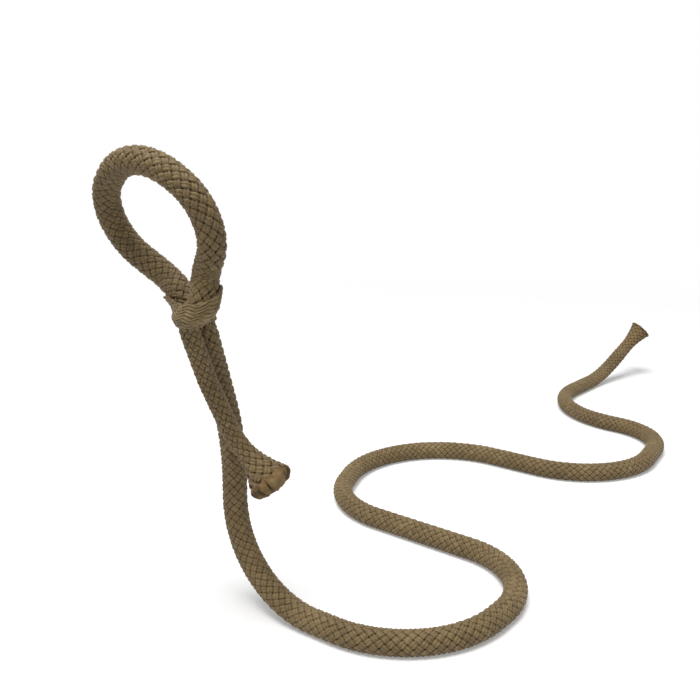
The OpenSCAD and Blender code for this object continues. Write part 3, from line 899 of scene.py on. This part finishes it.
def collar(materials):
    """A turn of the same braid, pulled flat round both runs, with its ends meeting behind."""
    rings = COLLAR_WAVES * COLLAR_RINGS_PER_WAVE
    x = COLLAR_SEAM + np.linspace(-COLLAR_OVERLAP, 1 + COLLAR_OVERLAP, rings)
    across, up = FLAT_SECTION_SHARES[None, :, 0], FLAT_SECTION_SHARES[None, :, 1]
    plan = MeshPlan()
    for way in (1, -1):
        for k in range(STRANDS):
            swing = way * np.cos(TURN * COLLAR_WAVES * x)
            wide = (COLLAR_DIVE_W + (1 - COLLAR_DIVE_W) * np.abs(swing)) / STRANDS
            wide = wide * (1 + smooth_noise(rings, COLLAR_WIDTH_BEAT, COLLAR_WIDTH_STRAY))
            thick = COLLAR_STRAND_T * (1 + COLLAR_SWELL * swing)
            thick = thick * (1 + smooth_noise(rings, COLLAR_HEIGHT_BEAT, COLLAR_HEIGHT_STRAY))
            turn = ((k + way * x * COLLAR_WAVES) / STRANDS)[:, None] + wide[:, None] * across
            rise = (COLLAR_WAVE * swing)[:, None] + thick[:, None] * up
            # The depth mark sets the painted shade between the collar's strands
            depth = COLLAR_DEPTH + COLLAR_DEPTH_SWING * swing[:, None] + up
            shade = rng.normal(0, COLLAR_STRAND_SHADE)
            shade = shade + smooth_noise(rings, COLLAR_SHADE_BEAT, COLLAR_SHADE)
            pts = collar_place(x[:, None], turn, 1.0, rise)
            plan.add_tube(pts, shade[:, None], depth, 0.0, 0)
    u = np.arange(COLLAR_LINING_STEPS) / COLLAR_LINING_STEPS
    v = np.arange(COLLAR_LINING_SIDES) / COLLAR_LINING_SIDES
    u, turn = np.meshgrid(u, v, indexing="ij")
    plan.add_tube(collar_place(u, turn, COLLAR_LINING_GROW), 0.0, 0.0, 0.0, 1, closed=True)
    piece = plan.build("collar_braid", materials)
    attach(piece, "root")
    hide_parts("collar_band")


# Materials

# The yarn's darkest, plain and lightest colour, which its tone and noise pick between, and where heat
# has browned it
YARN_SHADES = ((0.090, 0.055, 0.018), (0.200, 0.136, 0.055), (0.350, 0.255, 0.125))
YARN_BURNT = (0.22, 0.125, 0.045)

# The painted shade between the strands: how dark the gaps are on the rope and on the collar,
# the shade half way up, and the depth mark from which nothing is darkened
ROPE_GAP_SHADE, COLLAR_GAP_SHADE = 0.32, 0.25
HALF_WAY_SHADE = (0.70, 0.67, 0.62)
OPEN_DEPTH = 0.92

# How fine each noise is, in waves to the metre
FIBRES, YARN_PATCHES = 900.0, 60.0
MELT_GRAIN, MELT_PATCHES = 600.0, 170.0
INSIDE_MOTTLE, WIRE_GRAIN = 700.0, 1500.0

# How strongly the strand's own tone, the fibres and the patches change the yarn's shade, and how
# much of its browning is there apart from the patches
TONE_PULL, FIBRE_PULL, PATCH_PULL = 0.13, 0.55, 0.55
BURNT_EVEN = 0.25

# The twist of the fibres, in radians to the millimetre along and round a strand, and their relief
TWIST_ALONG, TWIST_ROUND = 9.0, 14.0
TWIST_RELIEF, FIBRE_RELIEF = 0.35, 1.2

# The melted yarn's colours by level, from its creases to its tops, where painted shade darkens the
# creases and lightens the lumps over the melt's own patches and grain
MELT_STOPS = (
    (0.05, (0.040, 0.024, 0.009)),
    (0.38, (0.115, 0.073, 0.028)),
    (0.56, (0.175, 0.103, 0.034)),
    (0.85, (0.225, 0.158, 0.072)),
)
# How strongly the painted shade and the grain move the level
MELT_SHADE_PULL, MELT_GRAIN_PULL = 0.55, 1.0

# The painted shade of the sleeve's inner side, and drawn steel, by the level of their noise
INSIDE_SHADE_STOPS = ((0.3, (0.020, 0.014, 0.007)), (0.7, (0.060, 0.043, 0.022)))
STEEL_STOPS = ((0.3, (0.40, 0.40, 0.41)), (0.7, (0.62, 0.62, 0.63)))


def new_material(name):
    m = bpy.data.materials.new(name)
    m.use_nodes = True
    tree = m.node_tree
    return m, tree, tree.nodes["Principled BSDF"]


def add(tree, kind, **values):
    node = tree.nodes.new(kind)
    for key, value in values.items():
        setattr(node, key, value)
    return node


def feed(tree, socket, value):
    """Links a socket to another node's output, or sets it to a plain value."""
    if isinstance(value, bpy.types.NodeSocket):
        tree.links.new(value, socket)
    else:
        socket.default_value = value


def set_inputs(tree, node, **values):
    """Feeds the inputs named by the keys, with a space for each underscore."""
    for key, value in values.items():
        feed(tree, node.inputs[key.replace("_", " ")], value)


def object_place(tree):
    return add(tree, "ShaderNodeTexCoord").outputs["Object"]


def mesh_mark(tree, label):
    return add(tree, "ShaderNodeAttribute", attribute_name=label).outputs["Fac"]


def fed(tree, node, *values):
    """Feeds a node's first inputs in turn, and gives its first output."""
    for socket, value in zip(node.inputs, values):
        feed(tree, socket, value)
    return node.outputs[0]


def math_node(tree, operation, *values):
    return fed(tree, add(tree, "ShaderNodeMath", operation=operation), *values)


def stray(tree, source, pull):
    """How far a noise lies from its middle, times the pull."""
    return math_node(tree, "MULTIPLY", math_node(tree, "SUBTRACT", source, 0.5), pull)


def ramp(tree, source, stops):
    node = add(tree, "ShaderNodeValToRGB")
    tree.links.new(source, node.inputs[0])
    elements = node.color_ramp.elements
    while len(elements) < len(stops):
        elements.new(0.5)
    for element, (place, colour) in zip(elements, stops):
        element.position = place
        element.color = (*colour, 1)
    return node.outputs[0]


def mix(tree, blend, factor, a, b):
    node = add(tree, "ShaderNodeMix", data_type="RGBA", blend_type=blend)
    set_inputs(tree, node, Factor=factor, A=a, B=b)
    return node.outputs["Result"]


def noise(tree, vector, scale, detail=3.0, roughness=0.55):
    node = add(tree, "ShaderNodeTexNoise")
    set_inputs(tree, node, Vector=vector, Scale=scale, Detail=detail, Roughness=roughness)
    return node.outputs[0]


def bump(tree, height, strength, distance):
    node = add(tree, "ShaderNodeBump")
    set_inputs(tree, node, Strength=strength, Distance=distance, Height=height)
    return node.outputs[0]


def fibre_relief(tree, fibres):
    """The height of the fibres, which wind round the strand along its skin."""
    strand = add(tree, "ShaderNodeUVMap", uv_map="Strand").outputs["UV"]
    parts = add(tree, "ShaderNodeSeparateXYZ")
    fed(tree, parts, strand)
    along = math_node(tree, "MULTIPLY", parts.outputs[0], TWIST_ALONG)
    around = math_node(tree, "MULTIPLY", parts.outputs[1], TWIST_ROUND)
    lines = math_node(tree, "SINE", math_node(tree, "ADD", along, around))
    lines = math_node(tree, "MULTIPLY", lines, TWIST_RELIEF)
    return math_node(tree, "ADD", lines, math_node(tree, "MULTIPLY", fibres, FIBRE_RELIEF))


def braid_material(name, gap):
    """Synthetic yarn: tone by strand and place, painted shade between strands, twisted fibres."""
    m, tree, shader = new_material(name)
    place = object_place(tree)
    fibres = noise(tree, place, FIBRES, 4.0)
    patches = noise(tree, place, YARN_PATCHES, 2.0)
    level = math_node(tree, "MULTIPLY_ADD", mesh_mark(tree, "tone"), TONE_PULL, 0.5)
    level = math_node(tree, "ADD", level, stray(tree, fibres, FIBRE_PULL))
    level = math_node(tree, "ADD", level, stray(tree, patches, PATCH_PULL))
    colour = ramp(tree, level, tuple(zip((0.0, 0.5, 1.0), YARN_SHADES)))
    uneven = math_node(tree, "ADD", patches, BURNT_EVEN)
    burnt = math_node(tree, "MULTIPLY", mesh_mark(tree, "scorch"), uneven)
    colour = mix(tree, "MIX", burnt, colour, (*YARN_BURNT, 1))
    # Painted shade: the yarn darkens towards the gaps between the strands, by the depth mark
    stops = ((0.0, (gap, gap, gap)), (0.5, HALF_WAY_SHADE), (OPEN_DEPTH, (1, 1, 1)))
    colour = mix(tree, "MULTIPLY", 1.0, colour, ramp(tree, mesh_mark(tree, "depth"), stops))
    set_inputs(
        tree, shader,
        Base_Color=colour,
        Roughness=math_node(tree, "MULTIPLY_ADD", fibres, 0.25, 0.41),
        Normal=bump(tree, fibre_relief(tree, fibres), strength=0.5, distance=0.00012),
        Specular_IOR_Level=0.38,
        Sheen_Weight=0.10,
        Sheen_Roughness=0.45,
        Sheen_Tint=(0.95, 0.9, 0.78, 1),
    )
    return m


def shade_lining_material():
    """The sleeve's inner side, painted dark as shade where light hardly reaches."""
    m, tree, shader = new_material("sleeve_inside")
    colour = ramp(tree, noise(tree, object_place(tree), INSIDE_MOTTLE), INSIDE_SHADE_STOPS)
    set_inputs(tree, shader, Base_Color=colour, Roughness=0.9, Specular_IOR_Level=0.1)
    return m


def fused_material():
    """Yarn ends melted to a dull amber plastic, with painted shade that darkens their creases."""
    m, tree, shader = new_material("fused_yarn")
    place = object_place(tree)
    grain = noise(tree, place, MELT_GRAIN, 5.0)
    patches = noise(tree, place, MELT_PATCHES, 2.0)
    # The tone mark on the fused ends is painted shade
    level = math_node(tree, "MULTIPLY", mesh_mark(tree, "tone"), MELT_SHADE_PULL)
    level = math_node(tree, "ADD", level, patches)
    level = math_node(tree, "ADD", level, stray(tree, grain, MELT_GRAIN_PULL))
    set_inputs(
        tree, shader,
        Base_Color=ramp(tree, level, MELT_STOPS),
        Roughness=math_node(tree, "MULTIPLY_ADD", grain, 0.3, 0.55),
        Normal=bump(tree, grain, strength=1.0, distance=0.0006),
        Specular_IOR_Level=0.25,
    )
    return m


def steel_material():
    """Drawn steel wire, with a fine grain."""
    m, tree, shader = new_material("drawn_steel")
    grain = noise(tree, object_place(tree), WIRE_GRAIN)
    rough = math_node(tree, "MULTIPLY_ADD", grain, 0.2, 0.25)
    colour = ramp(tree, grain, STEEL_STOPS)
    set_inputs(tree, shader, Base_Color=colour, Metallic=1.0, Roughness=rough)
    return m


# The scene

# The camera, found from the photograph: its eye from the heel, its heading, pitch and roll in
# degrees, its focal length in the photograph's pixels, and the width of its sensor
EYE = np.array([-195.594, -204.093, 157.617])
HEADING, PITCH, ROLL = 37.965, -13.376, -0.38
FOCAL_PIXELS, PHOTO_PIXELS = 870.3, 700.0
SENSOR_W = 36.0

# The lamp, in metres and watts, and how strongly the white surroundings light the object
LAMP_PLACE, LAMP_TARGET = (-0.60, -0.08, 1.72), (0.0, 0.0, 0.0)
LAMP_SIZE, LAMP_POWER = 1.0, 31.5
FILL = 0.30

# The floor in metres, its colour, its glow, and where it fades to white away from the object
FLOOR_REACH, FLOOR_Z = 12.0, -0.00012
FLOOR_COLOUR = (0.80, 0.80, 0.80, 1)
FLOOR_GLOW = 0.26
FADE_START, FADE_END = 0.28, 0.70
WHITE = (1, 1, 1, 1)


def camera():
    data = bpy.data.cameras.new("camera")
    data.sensor_width = SENSOR_W
    data.lens = FOCAL_PIXELS * SENSOR_W / PHOTO_PIXELS
    data.clip_start, data.clip_end = 0.01, 30.0
    turn = Matrix.Rotation(math.radians(HEADING) - math.pi / 2, 4, "Z")
    turn = turn @ Matrix.Rotation(math.pi / 2 + math.radians(PITCH), 4, "X")
    turn = turn @ Matrix.Rotation(math.radians(ROLL), 4, "Z")
    obj = put("camera", data)
    obj.matrix_world = Matrix.Translation(Vector((EYE - MIDDLE) * MM)) @ turn
    bpy.context.scene.camera = obj


def lamp():
    data = bpy.data.lights.new("key", "AREA")
    data.shape = "DISK"
    data.size = LAMP_SIZE
    data.energy = LAMP_POWER
    obj = put("key", data)
    obj.location = LAMP_PLACE
    down = Vector(LAMP_TARGET) - Vector(LAMP_PLACE)
    obj.rotation_euler = down.to_track_quat("-Z", "Y").to_euler()


def camera_like(tree):
    """One for what the camera, a reflection or glass sees, nought for what only lights."""
    path = add(tree, "ShaderNodeLightPath")
    total = math_node(tree, "MAXIMUM", path.outputs["Is Camera Ray"], path.outputs["Is Glossy Ray"])
    return math_node(tree, "MAXIMUM", total, path.outputs["Is Transmission Ray"])


def white_strength(tree, seen):
    """One where it is seen, and the fill where it only lights."""
    return math_node(tree, "MULTIPLY_ADD", seen, 1 - FILL, FILL)


def world():
    w = bpy.data.worlds.new("world")
    bpy.context.scene.world = w
    w.use_nodes = True
    tree = w.node_tree
    strength = white_strength(tree, camera_like(tree))
    set_inputs(tree, tree.nodes["Background"], Color=WHITE, Strength=strength)


def floor_fade(tree):
    """Nought by the object, rising to one away from it."""
    far = add(tree, "ShaderNodeVectorMath", operation="LENGTH")
    fed(tree, far, object_place(tree))
    fade = add(tree, "ShaderNodeMapRange", interpolation_type="SMOOTHSTEP")
    set_inputs(tree, fade, Value=far.outputs["Value"], From_Min=FADE_START, From_Max=FADE_END)
    return fade.outputs[0]


def floor_material():
    """A pale surface that keeps the shadow and fades to white away from the object."""
    m, tree, shader = new_material("pale_floor")
    set_inputs(tree, shader, Base_Color=FLOOR_COLOUR, Roughness=0.9, Specular_IOR_Level=0.0)
    seen = camera_like(tree)
    glow = add(tree, "ShaderNodeEmission")
    set_inputs(tree, glow, Color=WHITE, Strength=math_node(tree, "MULTIPLY", seen, FLOOR_GLOW))
    both = fed(tree, add(tree, "ShaderNodeAddShader"), shader.outputs[0], glow.outputs[0])
    white = add(tree, "ShaderNodeEmission")
    set_inputs(tree, white, Color=WHITE, Strength=white_strength(tree, seen))
    blend = add(tree, "ShaderNodeMixShader")
    surface = fed(tree, blend, floor_fade(tree), both, white.outputs[0])
    tree.links.new(surface, tree.nodes["Material Output"].inputs["Surface"])
    return m


def floor():
    mesh = bpy.data.meshes.new("floor")
    ways = ((-1, -1), (1, -1), (1, 1), (-1, 1))
    corners = [(x * FLOOR_REACH, y * FLOOR_REACH, FLOOR_Z) for x, y in ways]
    mesh.from_pydata(corners, [], [(0, 1, 2, 3)])
    obj = put("floor", mesh)
    mesh.materials.append(floor_material())


def dress_rod():
    rod = frame["nodes"]["core_rod"]
    rod.data.materials.clear()
    rod.data.materials.append(steel_material())


def main():
    bpy.context.scene.view_settings.view_transform = "Standard"
    camera()
    world()
    lamp()
    floor()
    rope = braid_material("rope_yarn", ROPE_GAP_SHADE)
    band = braid_material("collar_yarn", COLLAR_GAP_SHADE)
    inside = shade_lining_material()
    melted = fused_material()
    sleeves([rope, inside])
    fused_dome([melted])
    fused_rim([melted])
    collar([band, inside])
    dress_rod()


main()
